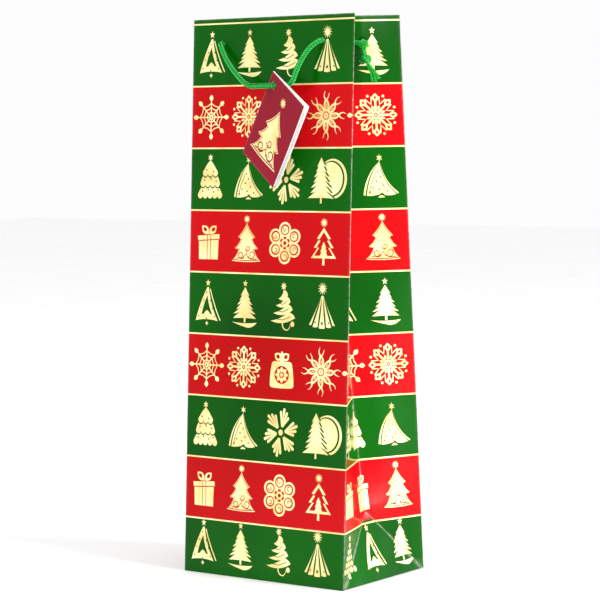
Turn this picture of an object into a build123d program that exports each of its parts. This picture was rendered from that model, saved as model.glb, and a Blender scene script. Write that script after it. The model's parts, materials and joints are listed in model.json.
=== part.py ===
from build123d import *
import os
from math import asin, cos, degrees, pi, radians, sin, sqrt, tan

# Paper gift bag for one wine bottle, standing open on its base.
# Millimetres. The origin is the centre of the base on the table, +Z is up and
# the front panel faces -Y. The bag was folded from one printed sheet, so each
# panel, gusset half, flap and hem between two creases is a solid of its own.

# Bag
bag_width = 127.0
bag_depth = 89.0
bag_height = 356.0
mouth_depth = 49.0          # the gussets fold in, so the mouth is less deep than the base
paper = 0.3
wall_gap = 0.3              # between the walls and the pieces that stay with the base
crease_gap = 0.15           # between two facets that meet at a crease
layer_gap = 0.05            # between glued layers
fold_layer_gap = 0.15       # between the layers of the twisted gusset hem
triangle_height = 42.2      # where the two bottom diagonals of a gusset meet

# Hem and boards
hem_height = 35.0
hem_side_inset = 4.5
board_height = 30.0
board_side_inset = 5.5
board_thickness = 1.0
board_top_drop = 1.5
base_board_thickness = 1.2
base_board_clearance = 0.6

# Base flaps
flap_overlap = 12.0
side_flap_reach = 34.0
seam_width = 12.0
seam_inset = 3.0

# Handle holes and cords
hole_inset = 24.0           # from each upright corner, along the paper
hole_drop = 16.0            # below the top edge
cord_diameter = 3.8
hole_clearance = 1.2        # punched holes are wider than the cord by this much
cord_standoff = 0.5         # between the panel and a cord that hangs in front of it
pivot_gap = 0.3             # between a cord end and the loop that swings on it
knot_diameter = 8.4
knot_clearance = 0.5
rear_knot_drop = 12.0
rear_knot_outward = 3.0     # the gusset comes outward as it goes down
tail_length = 13.0
bend_share = 0.45           # of a run of cord, rounded off at each of its ends
stub_past_board = 1.0       # a cord runs straight this far past the hem inside
drill_length = 17.0         # longer than any stack of layers
gusset_drill_length = 8.0   # and short of the other half

# Tag
tag_width = 41.0
tag_length = 60.0
tag_card = 0.4
tag_leaf_gap = 0.15
tag_hole_clearance = 2.0
tag_hole_from_fold = 5.5
tag_hole_from_top = 7.0
tag_turn = 15.0             # the tag's right edge stands forward by this angle
tag_rest_opening = 3.0
tag_axis_back = 1.5         # the cord's own line passes this far behind the tag's plane
tag_cord_gap = 1.3          # the cord ends here slant to the axis they turn on
tag_cord_left = 20.0        # the stretch of cord that turns with the tag, each way from its hole
tag_cord_right = 8.0
tag_cord_lead = 4.0         # straight, before it bends towards the hole
tag_cord_side = 1.2
tag_cord_front = 3.9
tag_cord_behind = 3.4

half_width = bag_width / 2
half_depth = bag_depth / 2
lean = asin((bag_depth - mouth_depth) / 2 / bag_height)
cord_radius = cord_diameter / 2
hole_diameter = cord_diameter + hole_clearance
tag_hole_diameter = cord_diameter + tag_hole_clearance
top_z = bag_height * cos(lean)
hem_stack = paper + board_thickness + paper + 2 * layer_gap

os.makedirs("parts", exist_ok=True)


def save(shape, name):
    shape.label = name
    export_step(shape, f"parts/{name}.step")


# ---------------------------------------------------------------- walls
# Wall coordinates: x along the bag, y up the panel from its bottom crease, z out.

front_wall = Plane(
    origin=(0, -half_depth, 0), x_dir=(1, 0, 0), z_dir=(0, -cos(lean), sin(lean))
)


def slab(width, low, high, inner, outer, x_middle=0.0):
    size = (width, high - low, outer - inner)
    return Pos(x_middle, (low + high) / 2, (inner + outer) / 2) * Box(*size)


def handle_holes():
    drill = Cylinder(hole_diameter / 2, drill_length)
    x = half_width - hole_inset
    y = bag_height - hole_drop
    return Pos(-x, y, 0) * drill + Pos(x, y, 0) * drill


def wall_panel():
    return slab(bag_width, paper, bag_height, -paper, 0) - handle_holes()


def wall_board():
    outer = -paper - layer_gap
    high = bag_height - board_top_drop
    width = bag_width - 2 * board_side_inset
    board = slab(width, high - board_height, high, outer - board_thickness, outer)
    return board - handle_holes()


def wall_hem():
    outer = -paper - 2 * layer_gap - board_thickness
    width = bag_width - 2 * hem_side_inset
    hem = slab(width, bag_height - hem_height, bag_height, outer - paper, outer)
    return hem - handle_holes()


def seam_tab():
    outer = -paper - layer_gap
    low = 2 * seam_inset
    high = bag_height - hem_height - seam_inset
    middle = half_width - seam_inset - seam_width / 2
    return slab(seam_width, low, high, outer - paper, outer, middle)


def on_front(shape):
    return front_wall.location * shape


def on_back(shape):
    return Rot(0, 0, 180) * on_front(shape)


# ---------------------------------------------------------------- gussets
# Each side is folded inward along its middle. Its paper is as wide as the base
# is deep, so the middle crease goes further in as the bag gets less deep.


def depth_at(z):
    return half_depth - z * tan(lean)


def crease_x(z):
    return half_width - sqrt(max(half_depth**2 - depth_at(z) ** 2, 0))


def gusset_end(z):
    """Where the front half of the right gusset ends at height z, as x and y."""
    if z >= triangle_height:
        return crease_x(z), 0.0
    share = z / triangle_height
    inward = half_width - crease_x(triangle_height)
    return half_width - inward * share, -half_depth * (1 - share)


def ruling(z, start_inset, end_inset, offset):
    """Two points of the front half of the right gusset at height z."""
    end_x, end_y = gusset_end(z)
    corner = Vector(half_width, -depth_at(z), z)
    end = Vector(end_x, end_y, z)
    along = (end - corner).normalized()
    inside = Vector(-along.Y, along.X, 0)
    start_share = start_inset / abs(end_y - corner.Y)
    start = corner + (end - corner) * start_share
    return start + inside * offset, end - along * end_inset + inside * offset


def closed_sheet(outer_rows, inner_rows):
    """A closed thin solid between two rows of rulings."""
    faces = []

    def add(*points):
        faces.append(Face(Wire.make_polygon(points, close=True)))

    def add_quad(a, b, c, d):
        add(a, b, c)
        add(a, c, d)

    last = len(outer_rows) - 1
    for k in range(last):
        (a, b), (c, d) = outer_rows[k], outer_rows[k + 1]
        (e, f), (g, h) = inner_rows[k], inner_rows[k + 1]
        add_quad(a, b, d, c)
        add_quad(e, f, h, g)
        add_quad(a, e, g, c)
        add_quad(b, f, h, d)
    for k in (0, last):
        (a, b), (e, f) = outer_rows[k], inner_rows[k]
        add_quad(a, b, f, e)
    return Solid(Shell(faces))


def gusset_sheet(heights, start_inset, end_inset, offset):
    outer = [ruling(z, start_inset, end_inset, offset) for z in heights]
    inner = [ruling(z, start_inset, end_inset, offset + paper) for z in heights]
    return closed_sheet(outer, inner)


hole_z = (bag_height - hole_drop) * cos(lean)


def gusset_hole_point():
    end_x, end_y = gusset_end(hole_z)
    share = hole_inset / half_depth
    x = half_width + (end_x - half_width) * share
    y = -depth_at(hole_z) * (1 - share)
    return Vector(x, y, hole_z)


def gusset_normal():
    """Out of the pocket side of the right gusset's front half, at the hole."""
    end_x, _ = gusset_end(hole_z)
    return Vector(depth_at(hole_z), half_width - end_x, 0).normalized()


def gusset_drill():
    plane = Plane(origin=gusset_hole_point(), z_dir=gusset_normal())
    return plane.location * Cylinder(hole_diameter / 2, gusset_drill_length)


def even_steps(low, high, steps):
    return [low + (high - low) * k / steps for k in range(steps)]


hem_heights = [top_z - hem_height, top_z - hem_height / 2, top_z]


def gusset_half():
    foot = even_steps(6 * paper, triangle_height, 3)
    middle = even_steps(triangle_height, hem_heights[0], 6)
    inset = 2 * paper + wall_gap
    sheet = gusset_sheet(foot + middle + hem_heights, inset, crease_gap, 0)
    return sheet - gusset_drill()


def gusset_hem():
    inset = hem_stack + 2 * paper + wall_gap
    hem = gusset_sheet(hem_heights, inset, 4 * paper, paper + fold_layer_gap)
    return hem - gusset_drill()


def gusset_triangle():
    """The facet of the right gusset below the two bottom diagonals."""
    margin = 2 * paper + crease_gap
    foot_x = half_width - paper
    peak = Vector(crease_x(triangle_height), 0, triangle_height - 2 * margin)
    front_foot = Vector(foot_x, -half_depth + 2 * margin, 2 * paper)
    rear_foot = Vector(foot_x, half_depth - 2 * margin, 2 * paper)
    face = Face(Wire.make_polygon([front_foot, rear_foot, peak], close=True))
    slope = (peak - front_foot).cross(rear_foot - front_foot).normalized()
    inward = slope if slope.X < 0 else -slope
    return extrude(face, amount=paper, dir=inward)


# ---------------------------------------------------------------- base
# Closed from outside in: front flap, rear flap, the two side flaps, then the
# loose board that stiffens the base.


def base_plate(x_low, x_high, y_low, y_high, low, thickness):
    size = (x_high - x_low, y_high - y_low, thickness)
    middle = ((x_low + x_high) / 2, (y_low + y_high) / 2, low + thickness / 2)
    return Pos(*middle) * Box(*size)


flap_edge = half_depth - 2 * paper - wall_gap
flap_side = half_width - 4 * paper
side_flap_z = 2 * paper + 2 * layer_gap
board_z = side_flap_z + paper + layer_gap


def base_front_flap():
    return base_plate(-flap_side, flap_side, -flap_edge, flap_overlap, 0, paper)


def base_rear_flap():
    low = paper + layer_gap
    return base_plate(-flap_side, flap_side, -flap_overlap, flap_edge, low, paper)


def base_side_flap():
    outer_x = flap_side - paper
    inner_x = outer_x - side_flap_reach
    points = [
        (outer_x, -flap_edge),
        (outer_x, flap_edge),
        (inner_x, flap_edge - side_flap_reach),
        (inner_x, -flap_edge + side_flap_reach),
    ]
    outline = Face(Wire.make_polygon([Vector(x, y, side_flap_z) for x, y in points], close=True))
    return extrude(outline, amount=paper, dir=(0, 0, 1))


def base_board():
    # The gusset triangles lean in over the base, so the board ends short of them.
    y = flap_edge - base_board_clearance
    top = board_z + base_board_thickness
    lean_in = (half_width - crease_x(triangle_height)) * top / triangle_height
    x = flap_side - lean_in - base_board_clearance
    return base_plate(-x, x, -y, y, board_z, base_board_thickness)


# ---------------------------------------------------------------- cords


def cord_tube(points, name):
    """Straight runs joined by tangent arcs, each as large as its two runs allow."""
    radii = []
    for before, here, after in zip(points, points[1:], points[2:]):
        turn = radians((here - before).get_angle(after - here))
        shorter = min((here - before).length, (after - here).length)
        radii.append(bend_share * shorter / tan(turn / 2))
    path = FilletPolyline(*points, radius=radii)
    section = Plane(origin=path @ 0, z_dir=path % 0) * Circle(cord_radius)
    tube = sweep(section, path=path)
    expected = pi * cord_radius**2 * path.length
    print(f"{name}: length {path.length:.1f}, volume {tube.volume:.0f} of {expected:.0f}")
    print("  radii", [round(r, 1) for r in radii])
    return tube


hole_up = bag_height - hole_drop
pivot_x = half_width - hole_inset
pivot_out = cord_radius + cord_standoff
pivot = front_wall.from_local_coords(Vector(pivot_x, hole_up, pivot_out))
print("front handle pivot", pivot)


def at_pivot(side, toward):
    """Where a loop begins, a cord radius and a gap from the end it swings on."""
    centre = Vector(side * pivot.X, pivot.Y, pivot.Z)
    reach = (toward - centre).normalized()
    return centre + reach * (cord_radius + pivot_gap)


def from_handle(points):
    """Points given from the middle of the line through a handle's two pivots."""
    return [Vector(0, pivot.Y, pivot.Z) + Vector(*p) for p in points]


tag_hole = from_handle([(12.0, -11.2, -27.6)])[0]
tag_axis_y = tag_hole.Y + tag_axis_back
pass_left = Vector(tag_hole.X - tag_cord_left, tag_axis_y, tag_hole.Z)
pass_right = Vector(tag_hole.X + tag_cord_right, tag_axis_y, tag_hole.Z)

front_left_route = from_handle(
    [(-36.0, -2.4, -8.1), (-30.0, -4.8, -16.0), (-23.0, -7.6, -22.8), (-15.5, -9.7, -27.6)]
)
front_left_route.append(pass_left - Vector(pivot_gap, 0, 0))
front_right_route = [pass_right + Vector(tag_cord_gap, -0.1, 0)]
front_right_route += from_handle(
    [(25.5, -10.9, -26.6), (27.0, -9.0, -18.6), (30.5, -6.2, -10.1), (35.0, -3.6, -3.2)]
)
back_half_route = from_handle(
    [(-36.4, -2.6, -8.6), (-29.5, -4.8, -19.1), (-18.0, -6.4, -26.1), (-6.0, -7.0, -29.0)]
)


def front_handle():
    start = at_pivot(-1, front_left_route[0])
    left = cord_tube([start] + front_left_route, "front handle, left")
    finish = at_pivot(1, front_right_route[-1])
    right = cord_tube(front_right_route + [finish], "front handle, right")
    return Compound(children=[left, right])


def back_handle():
    half = [at_pivot(-1, back_half_route[0])] + back_half_route
    mirrored = [Vector(-p.X, p.Y, p.Z) for p in reversed(half)]
    return Rot(0, 0, 180) * cord_tube(half + mirrored, "back handle")


def cord_end(knot_drop, tail_direction):
    """The right front end: pivot ball, stub through wall and gusset, knot and tail."""
    hole = gusset_hole_point()
    wall_hole = front_wall.from_local_coords(Vector(pivot_x, hole_up, -hem_stack - stub_past_board))
    through = (hole - wall_hole).normalized()
    reach = knot_diameter / 2 + knot_clearance
    bend = hole + through * (cord_radius + 3 * knot_clearance)
    if knot_drop:
        route = [pivot, wall_hole, bend, bend + Vector(rear_knot_outward, 0, -knot_drop)]
    else:
        route = [pivot, wall_hole, hole + through * reach]
    knot = route[-1]
    tail_end = knot + Vector(*tail_direction).normalized() * (knot_diameter / 2 + tail_length)
    route.append(tail_end)
    solid = Pos(*pivot) * Sphere(cord_radius) + Pos(*knot) * Sphere(knot_diameter / 2)
    for a, b in zip(route, route[1:]):
        run = Plane(origin=a, z_dir=b - a)
        solid += run.location * Cylinder(
            cord_radius, (b - a).length, align=(Align.CENTER, Align.CENTER, Align.MIN)
        )
        solid += Pos(*a) * Sphere(cord_radius)
    return solid


# ---------------------------------------------------------------- tag
# A folded card on the front handle. It hangs plumb from its hole, so its
# centre is straight below the hole, and its fold is the upper left edge.

tag_tilt = degrees(
    asin(
        (tag_width / 2 - tag_hole_from_fold)
        / sqrt(
            (tag_width / 2 - tag_hole_from_fold) ** 2 + (tag_length / 2 - tag_hole_from_top) ** 2
        )
    )
)
turn = radians(tag_turn)
tilt = radians(tag_tilt)
tag_level = Vector(cos(turn), -sin(turn), 0)
tag_out = Vector(-sin(turn), -cos(turn), 0)
tag_plane = Plane(
    origin=tag_hole,
    x_dir=tag_level * cos(tilt) + Vector(0, 0, -sin(tilt)),
    z_dir=tag_out,
)


def tag_leaf(inner, outer):
    size = (tag_width, tag_length, outer - inner)
    x = tag_width / 2 - tag_hole_from_fold
    y = tag_hole_from_top - tag_length / 2
    leaf = Pos(x, y, (inner + outer) / 2) * Box(*size)
    return leaf - Cylinder(tag_hole_diameter / 2, drill_length)


def tag_front_leaf():
    leaf = tag_leaf(tag_leaf_gap / 2, tag_leaf_gap / 2 + tag_card)
    at_fold = Pos(-tag_hole_from_fold, 0, 0)
    opened = at_fold * Rot(0, -tag_rest_opening, 0) * at_fold.inverse() * leaf
    return tag_plane.location * opened


def tag_back_leaf():
    return tag_plane.location * tag_leaf(-tag_leaf_gap / 2 - tag_card, -tag_leaf_gap / 2)


def tag_cord():
    """The stretch of cord through the tag's holes, from the front to behind it."""
    in_front = tag_hole - tag_level * tag_cord_side + tag_out * tag_cord_front
    behind = tag_hole + tag_level * tag_cord_side - tag_out * tag_cord_behind
    points = [pass_left, pass_left + Vector(tag_cord_lead, 0, 0), in_front, behind, pass_right]
    return cord_tube(points, "cord through the tag")


fold_low = tag_plane.from_local_coords(Vector(-tag_hole_from_fold, tag_hole_from_top - tag_length, 0))
fold_high = tag_plane.from_local_coords(Vector(-tag_hole_from_fold, tag_hole_from_top, 0))
print("tag tilt", round(tag_tilt, 2), "fold from", fold_low, "to", fold_high)
print("tag axis", 0, tag_axis_y, tag_hole.Z)

# ---------------------------------------------------------------- nodes

save(on_front(wall_panel()), "front_panel")
save(on_front(wall_board()), "front_board")
save(on_front(wall_hem()), "front_turn_in")
save(on_back(wall_panel()), "back_panel")
save(on_back(wall_board()), "back_board")
save(on_back(wall_hem()), "back_turn_in")
save(on_back(seam_tab()), "side_seam_tab")

half_sheet = gusset_half()
half_hem = gusset_hem()
triangle = gusset_triangle()
rear_half = mirror(half_sheet, about=Plane.XZ)
rear_hem = mirror(half_hem, about=Plane.XZ)
save(half_sheet, "right_gusset_front")
save(rear_half, "right_gusset_rear")
save(mirror(half_sheet, about=Plane.YZ), "left_gusset_front")
save(mirror(rear_half, about=Plane.YZ), "left_gusset_rear")
save(half_hem, "right_gusset_front_turn_in")
save(rear_hem, "right_gusset_rear_turn_in")
save(mirror(half_hem, about=Plane.YZ), "left_gusset_front_turn_in")
save(mirror(rear_hem, about=Plane.YZ), "left_gusset_rear_turn_in")
save(triangle, "right_gusset_triangle")
save(mirror(triangle, about=Plane.YZ), "left_gusset_triangle")

save(base_front_flap(), "base_front_flap")
save(base_rear_flap(), "base_rear_flap")
side_flap = base_side_flap()
save(side_flap, "base_right_flap")
save(mirror(side_flap, about=Plane.YZ), "base_left_flap")
save(base_board(), "base_board")

front_end = cord_end(0, (1, 0.1, -0.25))
rear_end = mirror(cord_end(rear_knot_drop, (0.6, 0.1, -1)), about=Plane.XZ)
save(front_handle(), "front_handle_cord")
save(front_end, "front_cord_end_right")
save(mirror(front_end, about=Plane.YZ), "front_cord_end_left")
save(back_handle(), "back_handle_cord")
save(rear_end, "back_cord_end_right")
save(mirror(rear_end, about=Plane.YZ), "back_cord_end_left")

save(tag_front_leaf(), "tag_front_leaf")
save(tag_back_leaf(), "tag_back_leaf")
save(tag_cord(), "tag_cord")
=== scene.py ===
import json
import random
from math import asin, atan2, ceil, cos, exp, hypot, pi, radians, sin, sqrt

import bmesh
import bpy
from mathutils import Matrix, Vector
from mathutils.geometry import delaunay_2d_cdt


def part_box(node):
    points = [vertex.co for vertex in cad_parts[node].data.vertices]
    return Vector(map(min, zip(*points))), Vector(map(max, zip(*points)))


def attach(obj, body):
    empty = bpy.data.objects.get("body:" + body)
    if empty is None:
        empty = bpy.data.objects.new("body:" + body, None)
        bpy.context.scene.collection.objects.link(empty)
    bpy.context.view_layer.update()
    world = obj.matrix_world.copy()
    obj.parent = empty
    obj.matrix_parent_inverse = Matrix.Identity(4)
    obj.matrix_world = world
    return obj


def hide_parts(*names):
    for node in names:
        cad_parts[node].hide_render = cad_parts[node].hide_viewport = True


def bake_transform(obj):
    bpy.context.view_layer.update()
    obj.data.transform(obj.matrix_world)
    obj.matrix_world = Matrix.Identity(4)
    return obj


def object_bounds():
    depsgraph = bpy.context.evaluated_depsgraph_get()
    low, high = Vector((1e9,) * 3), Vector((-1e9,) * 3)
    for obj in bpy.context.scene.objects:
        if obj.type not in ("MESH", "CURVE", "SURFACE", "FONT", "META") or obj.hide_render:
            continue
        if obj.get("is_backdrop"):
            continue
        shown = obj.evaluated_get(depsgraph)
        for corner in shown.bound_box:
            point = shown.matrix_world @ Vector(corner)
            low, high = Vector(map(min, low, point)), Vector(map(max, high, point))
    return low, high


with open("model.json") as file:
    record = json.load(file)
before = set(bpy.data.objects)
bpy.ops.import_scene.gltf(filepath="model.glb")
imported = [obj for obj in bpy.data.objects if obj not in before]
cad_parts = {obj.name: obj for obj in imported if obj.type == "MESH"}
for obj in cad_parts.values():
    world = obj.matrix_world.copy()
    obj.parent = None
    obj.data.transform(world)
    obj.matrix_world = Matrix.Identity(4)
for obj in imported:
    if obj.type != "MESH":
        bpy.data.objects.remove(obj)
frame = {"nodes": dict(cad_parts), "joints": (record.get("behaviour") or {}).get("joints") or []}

CAD_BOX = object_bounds()
MM = 0.001
joints = {joint["name"]: joint for joint in frame["joints"]}

# ---------------------------------------------------------------- sizes from the frame

panel_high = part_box("front_panel")[1]
PAPER = 0.3 * MM
half_width = panel_high.x
SHEET_WIDTH = 2 * half_width
half_depth = -joints["front_wall_lean"]["pos_m"][1]
mouth_half = PAPER - panel_high.y
top_z = panel_high.z
sheet_height = hypot(top_z, half_depth - mouth_half)
lean = asin((half_depth - mouth_half) / sheet_height)
gusset_width = half_depth          # paper from an upright corner to the middle crease
triangle_height = 42.2 * MM        # where the two bottom diagonals of a gusset meet
handle_line = Vector(joints["front_handle_swing"]["pos_m"])
CORD_DIAMETER = 3.8 * MM

# ---------------------------------------------------------------- camera

CAMERA_AZIMUTH = radians(36.8)
CAMERA_PITCH = radians(4.44)
CAMERA_ROLL = radians(0.86)
CAMERA_DISTANCE = 1.524
CAMERA_HEIGHT = 0.2933
CAMERA_LENS = 142.7
CAMERA_SENSOR = 36.0


def make_camera():
    data = bpy.data.cameras.new("camera")
    data.lens = CAMERA_LENS
    data.sensor_width = CAMERA_SENSOR
    camera = bpy.data.objects.new("camera", data)
    bpy.context.scene.collection.objects.link(camera)
    across = CAMERA_DISTANCE * sin(CAMERA_AZIMUTH)
    camera.location = (across, -CAMERA_DISTANCE * cos(CAMERA_AZIMUTH), CAMERA_HEIGHT)
    turn = Matrix.Rotation(CAMERA_AZIMUTH, 4, "Z") @ Matrix.Rotation(pi / 2 - CAMERA_PITCH, 4, "X")
    camera.rotation_euler = (turn @ Matrix.Rotation(-CAMERA_ROLL, 4, "Z")).to_euler()
    bpy.context.scene.camera = camera


make_camera()

# ---------------------------------------------------------------- materials


def shader(name, colour, roughness):
    material = bpy.data.materials.new(name)
    material.use_nodes = True
    surface = material.node_tree.nodes["Principled BSDF"]
    surface.inputs["Base Color"].default_value = (*colour, 1)
    surface.inputs["Roughness"].default_value = roughness
    return material, material.node_tree, surface


def noise(tree, scale, detail=3.0):
    """Noise over the piece's own place in the row frame."""
    place = tree.nodes.new("ShaderNodeTexCoord")
    texture = tree.nodes.new("ShaderNodeTexNoise")
    texture.inputs["Scale"].default_value = scale
    texture.inputs["Detail"].default_value = detail
    tree.links.new(place.outputs["Object"], texture.inputs["Vector"])
    return texture.outputs["Fac"]


def spread(tree, value, low, high):
    """A 0 to 1 value, moved to the range from low to high."""
    node = tree.nodes.new("ShaderNodeMapRange")
    node.inputs["From Min"].default_value = 0.3
    node.inputs["From Max"].default_value = 0.7
    node.inputs["To Min"].default_value = low
    node.inputs["To Max"].default_value = high
    tree.links.new(value, node.inputs["Value"])
    return node.outputs["Result"]


def blended(tree, factor, first, second):
    """Mixes two colours, each a colour or a socket."""
    node = tree.nodes.new("ShaderNodeMix")
    node.data_type = "RGBA"
    tree.links.new(factor, node.inputs["Factor"])
    for socket, value in ((node.inputs[6], first), (node.inputs[7], second)):
        if isinstance(value, tuple):
            socket.default_value = (*value, 1)
        else:
            tree.links.new(value, socket)
    return node.outputs[2]


def bumped(tree, surface, height, strength, distance):
    bump = tree.nodes.new("ShaderNodeBump")
    bump.inputs["Strength"].default_value = strength
    bump.inputs["Distance"].default_value = distance
    tree.links.new(height, bump.inputs["Height"])
    tree.links.new(bump.outputs["Normal"], surface.inputs["Normal"])


def glossy_print(name, deep, light):
    """Laminated print. The film is scuffed along the creases and has a faint orange peel."""
    material, tree, surface = shader(name, deep, 0.22)
    surface.inputs["Specular IOR Level"].default_value = 0.12
    cloud = spread(tree, noise(tree, 9.0), 0.0, 1.0)
    colour = blended(tree, cloud, deep, light)
    wear = tree.nodes.new("ShaderNodeAttribute")
    wear.attribute_name = "wear"
    patchy = tree.nodes.new("ShaderNodeMath")
    patchy.operation = "MULTIPLY"
    tree.links.new(wear.outputs["Fac"], patchy.inputs[0])
    tree.links.new(spread(tree, noise(tree, 420.0, 5.0), 0.15, 1.0), patchy.inputs[1])
    pale = tuple(0.65 * c + 0.35 * w for c, w in zip(light, (0.85, 0.75, 0.7)))
    tree.links.new(blended(tree, patchy.outputs[0], colour, pale), surface.inputs["Base Color"])
    tree.links.new(spread(tree, noise(tree, 60.0), 0.1, 0.18), surface.inputs["Roughness"])
    bumped(tree, surface, noise(tree, 240.0, 2.0), 0.04, 0.0006)
    return material


def gold_foil():
    material, tree, surface = shader("gold_foil", (0.9, 0.7, 0.3), 0.3)
    # The colour goes in blotches from a lit pale gold to a shaded deeper gold: painted reflection and
    # shade on the foil.
    cloud = spread(tree, noise(tree, 70.0, 1.0), 0.0, 1.0)
    tint = blended(tree, cloud, (1.0, 0.93, 0.48), (0.93, 0.66, 0.24))
    tree.links.new(tint, surface.inputs["Base Color"])
    tree.links.new(spread(tree, noise(tree, 130.0), 0.26, 0.4), surface.inputs["Roughness"])
    surface.inputs["Metallic"].default_value = 0.4
    return material


def uncoated(name, colour, speck, roughness=0.85, grain=900.0, bump=0.25):
    """Bare paper or board with a fibrous grain."""
    material, tree, surface = shader(name, colour, roughness)
    fibres = spread(tree, noise(tree, grain, 6.0), 0.0, 1.0)
    tree.links.new(blended(tree, fibres, colour, speck), surface.inputs["Base Color"])
    bumped(tree, surface, noise(tree, grain, 4.0), bump, 0.0002)
    return material


def cord_yarn(name, deep, light):
    material, tree, surface = shader(name, deep, 0.45)
    strands = spread(tree, noise(tree, 1500.0, 4.0), 0.0, 1.0)
    tree.links.new(blended(tree, strands, deep, light), surface.inputs["Base Color"])
    bumped(tree, surface, noise(tree, 2600.0, 3.0), 0.4, 0.0002)
    surface.inputs["Sheen Weight"].default_value = 0.06
    surface.inputs["Specular IOR Level"].default_value = 0.25
    return material


green_print = glossy_print("green_print", (0.0, 0.055, 0.0), (0.0, 0.11, 0.0))
red_print = glossy_print("red_print", (0.4, 0.0, 0.0), (0.56, 0.0, 0.004))
foil = gold_foil()
white_paper = uncoated("white_paper", (0.86, 0.86, 0.84), (0.76, 0.75, 0.72))
grey_board = uncoated("grey_board", (0.42, 0.39, 0.34), (0.3, 0.27, 0.23), 0.95, 500.0, 0.6)
yarn = cord_yarn("cord_yarn", (0.0, 0.3, 0.03), (0.03, 0.66, 0.08))
# A darker copy of the same yarn, as painted shade: it goes on the yarns that run one way and on the
# core between them.
yarn_painted_shade = cord_yarn("cord_yarn_painted_shade", (0.0, 0.08, 0.01), (0.0, 0.2, 0.03))
tag_print = glossy_print("tag_print", (0.2, 0.0, 0.01), (0.3, 0.0, 0.018))

PRINTED = (green_print, red_print, white_paper)
GREEN, RED, WHITE = 0, 1, 2

# ---------------------------------------------------------------- mesh helpers


def new_object(name, mesh, materials):
    thing = bpy.data.objects.new(name, mesh)
    bpy.context.scene.collection.objects.link(thing)
    for material in materials:
        mesh.materials.append(material)
    return thing


SHARP_ANGLE = radians(35)


def mesh_of(name, verts, faces, looks=None):
    mesh = bpy.data.meshes.new(name)
    mesh.from_pydata(verts, [], faces)
    if looks:
        mesh.polygons.foreach_set("material_index", looks)
    mesh.shade_smooth()
    mesh.set_sharp_from_angle(angle=SHARP_ANGLE)
    return mesh


def turned(thing):
    """The same piece on the other side of the bag, half a turn round."""
    thing.data.transform(Matrix.Rotation(pi, 4, "Z"))
    return thing


DRILL_LENGTH = 8 * MM
DRILL_SIDES = 28


def drilled(thing, place, axis, diameter):
    """Cuts a round hole through a sheet."""
    cutter_mesh = bpy.data.meshes.new("drill")
    form = bmesh.new()
    radius = diameter / 2
    bmesh.ops.create_cone(
        form, cap_ends=True, segments=DRILL_SIDES, radius1=radius, radius2=radius, depth=DRILL_LENGTH
    )
    form.to_mesh(cutter_mesh)
    form.free()
    cutter = new_object("drill", cutter_mesh, [])
    turn = axis.to_track_quat("Z", "Y").to_matrix().to_4x4()
    cutter.matrix_world = Matrix.Translation(place) @ turn
    cut = thing.modifiers.new("hole", "BOOLEAN")
    cut.operation = "DIFFERENCE"
    cut.solver = "EXACT"
    cut.object = cutter
    bpy.context.view_layer.update()
    whole = thing.data
    graph = bpy.context.evaluated_depsgraph_get()
    thing.data = bpy.data.meshes.new_from_object(thing.evaluated_get(graph))
    thing.modifiers.clear()
    bpy.data.objects.remove(cutter)
    bpy.data.meshes.remove(whole)
    return thing


# ---------------------------------------------------------------- cords
# Each route is the control points of one smooth curve.

BRAID_PITCH = 7.0 * MM              # along the cord, for one turn of a yarn
BRAID_STEP = 0.42 * MM              # between the rings of a yarn's mesh
YARN_COUNT = 4                      # yarns in each direction of the braid
YARN_RADIUS = 0.56 * MM
YARN_SWAY = 0.24 * MM               # in and out, as a yarn goes under and over
CORE_INSET = 1.25                   # yarn radii from the outside to the core
CORD_RADIUS = CORD_DIAMETER / 2
UP = Vector((0, 0, 1))


def handle_points(points):
    """Points in mm from the middle of the line through the front handle's two ends."""
    middle = Vector((0, handle_line.y, handle_line.z))
    return [middle + Vector(p) * MM for p in points]


HOLE_DROP = 16 * MM                 # from the top edge
HOLE_INSET = 24 * MM                # from an upright corner
PIVOT_X = half_width - HOLE_INSET
left_pivot = Vector((-PIVOT_X, handle_line.y, handle_line.z))
right_pivot = Vector((PIVOT_X, handle_line.y, handle_line.z))

tag_hole = handle_points([(12, -11.2, -27.6)])[0]
TAG_AXIS_BACK = 1.5 * MM            # the cord's line passes this far behind the tag
TAG_TURN = radians(15)
tag_level = Vector((cos(TAG_TURN), -sin(TAG_TURN), 0))
tag_out = Vector((-sin(TAG_TURN), -cos(TAG_TURN), 0))
PASS_LEFT = 20 * MM                 # cord that turns with the tag, each way from its hole
PASS_RIGHT = 8 * MM
PASS_LEAD = 4 * MM
PASS_SIDE = 1.2 * MM
PASS_FRONT = 3.9 * MM
PASS_BEHIND = 3.4 * MM
pass_left = tag_hole + Vector((-PASS_LEFT, TAG_AXIS_BACK, 0))
pass_right = tag_hole + Vector((PASS_RIGHT, TAG_AXIS_BACK, 0))

left_bends = [(-34.4, -2.8, -7.6), (-27, -5.4, -15.2), (-19, -7.9, -21.8), (-12, -9.6, -26.6)]
right_bends = [(25.5, -10.9, -26.6), (27, -9, -18.6), (30.5, -6.2, -10.1), (35, -3.6, -3.2)]
back_bends = [(-36.4, -2.6, -8.6), (-29.5, -4.8, -19.1), (-18, -6.4, -26.1), (-6, -7, -29)]

left_route = [left_pivot, *handle_points(left_bends), pass_left]
tag_route = [
    pass_left,
    pass_left + Vector((PASS_LEAD, 0, 0)),
    tag_hole - tag_level * PASS_SIDE + tag_out * PASS_FRONT,
    tag_hole + tag_level * PASS_SIDE - tag_out * PASS_BEHIND,
    pass_right,
]
right_route = [pass_right, *handle_points(right_bends), right_pivot]
# The back handle is drawn at the front, and then turned half round.
back_half = [left_pivot, *handle_points(back_bends)]
back_front = back_half + [Vector((-p.x, p.y, p.z)) for p in reversed(back_half)]
back_route = [Vector((-p.x, -p.y, p.z)) for p in back_front]


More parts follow.
